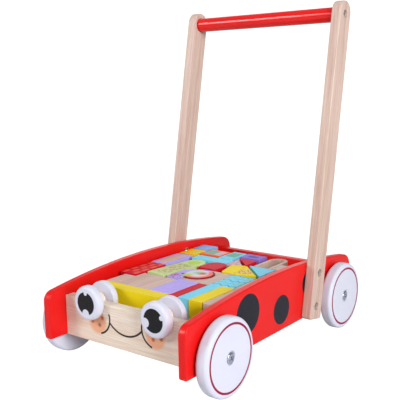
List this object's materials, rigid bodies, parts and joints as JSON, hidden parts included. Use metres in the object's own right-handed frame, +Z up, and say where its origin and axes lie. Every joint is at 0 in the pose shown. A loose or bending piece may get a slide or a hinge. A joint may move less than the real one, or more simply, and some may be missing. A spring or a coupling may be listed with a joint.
{
  "type": "baby walker",
  "caption": "Push-along wooden baby walker: a ladybird-shaped block trolley on wheels with turning eyes, two leaning posts, a round grip bar and a tray of loose building blocks.",
  "frame": {"origin": "on the ground, under the middle of the bounding box", "axes": "+Z up; the face looks along -Y and the grip bar leans back towards +Y; +X is the right side seen from the front"},
  "size_m": [0.2888, 0.42, 0.4878],
  "materials": {
    "red_paint": "glossy red paint on plywood and turned wood",
    "white_paint": "satin white paint on turned wood",
    "pine": "clear lacquered pale wood with fine grain",
    "plywood": "bare birch plywood",
    "steel": "zinc plated, satin",
    "yellow_paint": "satin paint on wood",
    "block_wood": "clear lacquered pale wood",
    "lavender_paint": "satin paint on wood",
    "crimson_paint": "satin paint on wood",
    "light_blue_paint": "satin paint on wood",
    "lime_paint": "satin paint on wood",
    "orange_paint": "satin paint on wood",
    "purple_paint": "satin paint on wood",
    "periwinkle_paint": "satin paint on wood",
    "pink_paint": "satin paint on wood"
  },
  "bodies": {
    "trolley": {"side_panel_left": "red_paint", "side_panel_right": "red_paint", "front_panel": "pine", "back_panel": "red_paint", "tray_floor": "plywood", "wheel_bolt_front_left": "steel", "wheel_nut_front_left": "steel", "wheel_bolt_rear_left": "steel", "wheel_nut_rear_left": "steel", "wheel_bolt_front_right": "steel", "wheel_nut_front_right": "steel", "wheel_bolt_rear_right": "steel", "wheel_nut_rear_right": "steel", "post_left": "pine", "post_bolt_lower_left": "steel", "post_nut_lower_left": "steel", "post_bolt_upper_left": "steel", "post_nut_upper_left": "steel", "grip_bolt_left": "steel", "post_right": "pine", "post_bolt_lower_right": "steel", "post_nut_lower_right": "steel", "post_bolt_upper_right": "steel", "post_nut_upper_right": "steel", "grip_bolt_right": "steel", "grip_bar": "red_paint"},
    "wheel_front_left": {"wheel_front_left": "white_paint"},
    "wheel_rear_left": {"wheel_rear_left": "white_paint"},
    "wheel_front_right": {"wheel_front_right": "white_paint"},
    "wheel_rear_right": {"wheel_rear_right": "white_paint"},
    "eye_left": {"eye_front_left": "white_paint", "eye_rear_left": "white_paint"},
    "eye_right": {"eye_front_right": "white_paint", "eye_rear_right": "white_paint"},
    "block_yellow_bar": {"block_yellow_bar": "yellow_paint"},
    "block_planks": {"block_planks": "block_wood"},
    "block_lavender_bars": {"block_lavender_bars": "lavender_paint"},
    "block_crimson_bar": {"block_crimson_bar": "crimson_paint"},
    "block_blue_bar": {"block_blue_bar": "light_blue_paint"},
    "block_yellow_brick": {"block_yellow_brick": "yellow_paint"},
    "block_natural_bricks": {"block_natural_bricks": "block_wood"},
    "block_blue_tiles": {"block_blue_tiles": "light_blue_paint"},
    "block_natural_bridge": {"block_natural_bridge": "block_wood"},
    "block_clock": {"block_clock": "lavender_paint"},
    "block_lime_sign": {"block_lime_sign": "lime_paint"},
    "block_crimson_brick": {"block_crimson_brick": "crimson_paint"},
    "block_lavender_brick": {"block_lavender_brick": "lavender_paint"},
    "block_blue_brick": {"block_blue_brick": "light_blue_paint"},
    "block_amber_brick": {"block_amber_brick": "yellow_paint"},
    "block_periwinkle_brick": {"block_periwinkle_brick": "periwinkle_paint"},
    "block_orange_brick": {"block_orange_brick": "orange_paint"},
    "block_cyan_brick": {"block_cyan_brick": "light_blue_paint"},
    "block_crimson_arch": {"block_crimson_arch": "crimson_paint"},
    "block_yellow_wedge": {"block_yellow_wedge": "yellow_paint"},
    "block_blue_wedge": {"block_blue_wedge": "light_blue_paint"},
    "block_natural_arch": {"block_natural_arch": "block_wood"},
    "block_natural_square": {"block_natural_square": "block_wood"},
    "block_purple_brick": {"block_purple_brick": "purple_paint"},
    "block_crimson_triangle": {"block_crimson_triangle": "crimson_paint"},
    "block_pink_triangle": {"block_pink_triangle": "pink_paint"}
  },
  "joints": [
    {"name": "wheel_front_left_roll", "type": "hinge", "parent": "trolley", "child": "wheel_front_left", "pos_m": [-0.1346, -0.149, 0.05], "axis": [1, 0, 0], "continuous": true},
    {"name": "wheel_rear_left_roll", "type": "hinge", "parent": "trolley", "child": "wheel_rear_left", "pos_m": [-0.1346, 0.153, 0.05], "axis": [1, 0, 0], "continuous": true},
    {"name": "wheel_front_right_roll", "type": "hinge", "parent": "trolley", "child": "wheel_front_right", "pos_m": [0.1346, -0.149, 0.05], "axis": [1, 0, 0], "continuous": true},
    {"name": "wheel_rear_right_roll", "type": "hinge", "parent": "trolley", "child": "wheel_rear_right", "pos_m": [0.1346, 0.153, 0.05], "axis": [1, 0, 0], "continuous": true},
    {"name": "eye_left_spin", "type": "hinge", "parent": "trolley", "child": "eye_left", "pos_m": [-0.0588, -0.1725, 0.092], "axis": [0, 1, 0], "continuous": true},
    {"name": "eye_right_spin", "type": "hinge", "parent": "trolley", "child": "eye_right", "pos_m": [0.0588, -0.1725, 0.092], "axis": [0, 1, 0], "continuous": true},
    {"name": "block_yellow_bar_lift", "type": "slide", "parent": "trolley", "child": "block_yellow_bar", "axis": [0, 0, 1], "range_m": [0, 0.1]},
    {"name": "block_planks_lift", "type": "slide", "parent": "trolley", "child": "block_planks", "axis": [0, 0, 1], "range_m": [0, 0.1]},
    {"name": "block_lavender_bars_lift", "type": "slide", "parent": "trolley", "child": "block_lavender_bars", "axis": [0, 0, 1], "range_m": [0, 0.1]},
    {"name": "block_crimson_bar_lift", "type": "slide", "parent": "trolley", "child": "block_crimson_bar", "axis": [0, 0, 1], "range_m": [0, 0.1]},
    {"name": "block_blue_bar_lift", "type": "slide", "parent": "trolley", "child": "block_blue_bar", "axis": [0, 0, 1], "range_m": [0, 0.1]},
    {"name": "block_yellow_brick_lift", "type": "slide", "parent": "trolley", "child": "block_yellow_brick", "axis": [0, 0, 1], "range_m": [0, 0.1]},
    {"name": "block_natural_bricks_lift", "type": "slide", "parent": "trolley", "child": "block_natural_bricks", "axis": [0, 0, 1], "range_m": [0, 0.1]},
    {"name": "block_blue_tiles_lift", "type": "slide", "parent": "trolley", "child": "block_blue_tiles", "axis": [0, 0, 1], "range_m": [0, 0.1]},
    {"name": "block_natural_bridge_lift", "type": "slide", "parent": "trolley", "child": "block_natural_bridge", "axis": [0, 0, 1], "range_m": [0, 0.1]},
    {"name": "block_clock_lift", "type": "slide", "parent": "trolley", "child": "block_clock", "axis": [0, 0, 1], "range_m": [0, 0.1]},
    {"name": "block_lime_sign_lift", "type": "slide", "parent": "trolley", "child": "block_lime_sign", "axis": [0, 0, 1], "range_m": [0, 0.1]},
    {"name": "block_crimson_brick_lift", "type": "slide", "parent": "trolley", "child": "block_crimson_brick", "axis": [0, 0, 1], "range_m": [0, 0.1]},
    {"name": "block_lavender_brick_lift", "type": "slide", "parent": "trolley", "child": "block_lavender_brick", "axis": [0, 0, 1], "range_m": [0, 0.1]},
    {"name": "block_blue_brick_lift", "type": "slide", "parent": "trolley", "child": "block_blue_brick", "axis": [0, 0, 1], "range_m": [0, 0.1]},
    {"name": "block_amber_brick_lift", "type": "slide", "parent": "trolley", "child": "block_amber_brick", "axis": [0, 0, 1], "range_m": [0, 0.1]},
    {"name": "block_periwinkle_brick_lift", "type": "slide", "parent": "trolley", "child": "block_periwinkle_brick", "axis": [0, 0, 1], "range_m": [0, 0.1]},
    {"name": "block_orange_brick_lift", "type": "slide", "parent": "trolley", "child": "block_orange_brick", "axis": [0, 0, 1], "range_m": [0, 0.1]},
    {"name": "block_cyan_brick_lift", "type": "slide", "parent": "trolley", "child": "block_cyan_brick", "axis": [0, 0, 1], "range_m": [0, 0.1]},
    {"name": "block_crimson_arch_lift", "type": "slide", "parent": "trolley", "child": "block_crimson_arch", "axis": [0, 0, 1], "range_m": [0, 0.1]},
    {"name": "block_yellow_wedge_lift", "type": "slide", "parent": "trolley", "child": "block_yellow_wedge", "axis": [0, 0, 1], "range_m": [0, 0.1]},
    {"name": "block_blue_wedge_lift", "type": "slide", "parent": "trolley", "child": "block_blue_wedge", "axis": [0, 0, 1], "range_m": [0, 0.1]},
    {"name": "block_natural_arch_lift", "type": "slide", "parent": "trolley", "child": "block_natural_arch", "axis": [0, 0, 1], "range_m": [0, 0.1]},
    {"name": "block_natural_square_lift", "type": "slide", "parent": "trolley", "child": "block_natural_square", "axis": [0, 0, 1], "range_m": [0, 0.1]},
    {"name": "block_purple_brick_lift", "type": "slide", "parent": "trolley", "child": "block_purple_brick", "axis": [0, 0, 1], "range_m": [0, 0.1]},
    {"name": "block_crimson_triangle_lift", "type": "slide", "parent": "trolley", "child": "block_crimson_triangle", "axis": [0, 0, 1], "range_m": [0, 0.1]},
    {"name": "block_pink_triangle_lift", "type": "slide", "parent": "trolley", "child": "block_pink_triangle", "axis": [0, 0, 1], "range_m": [0, 0.1]}
  ]
}
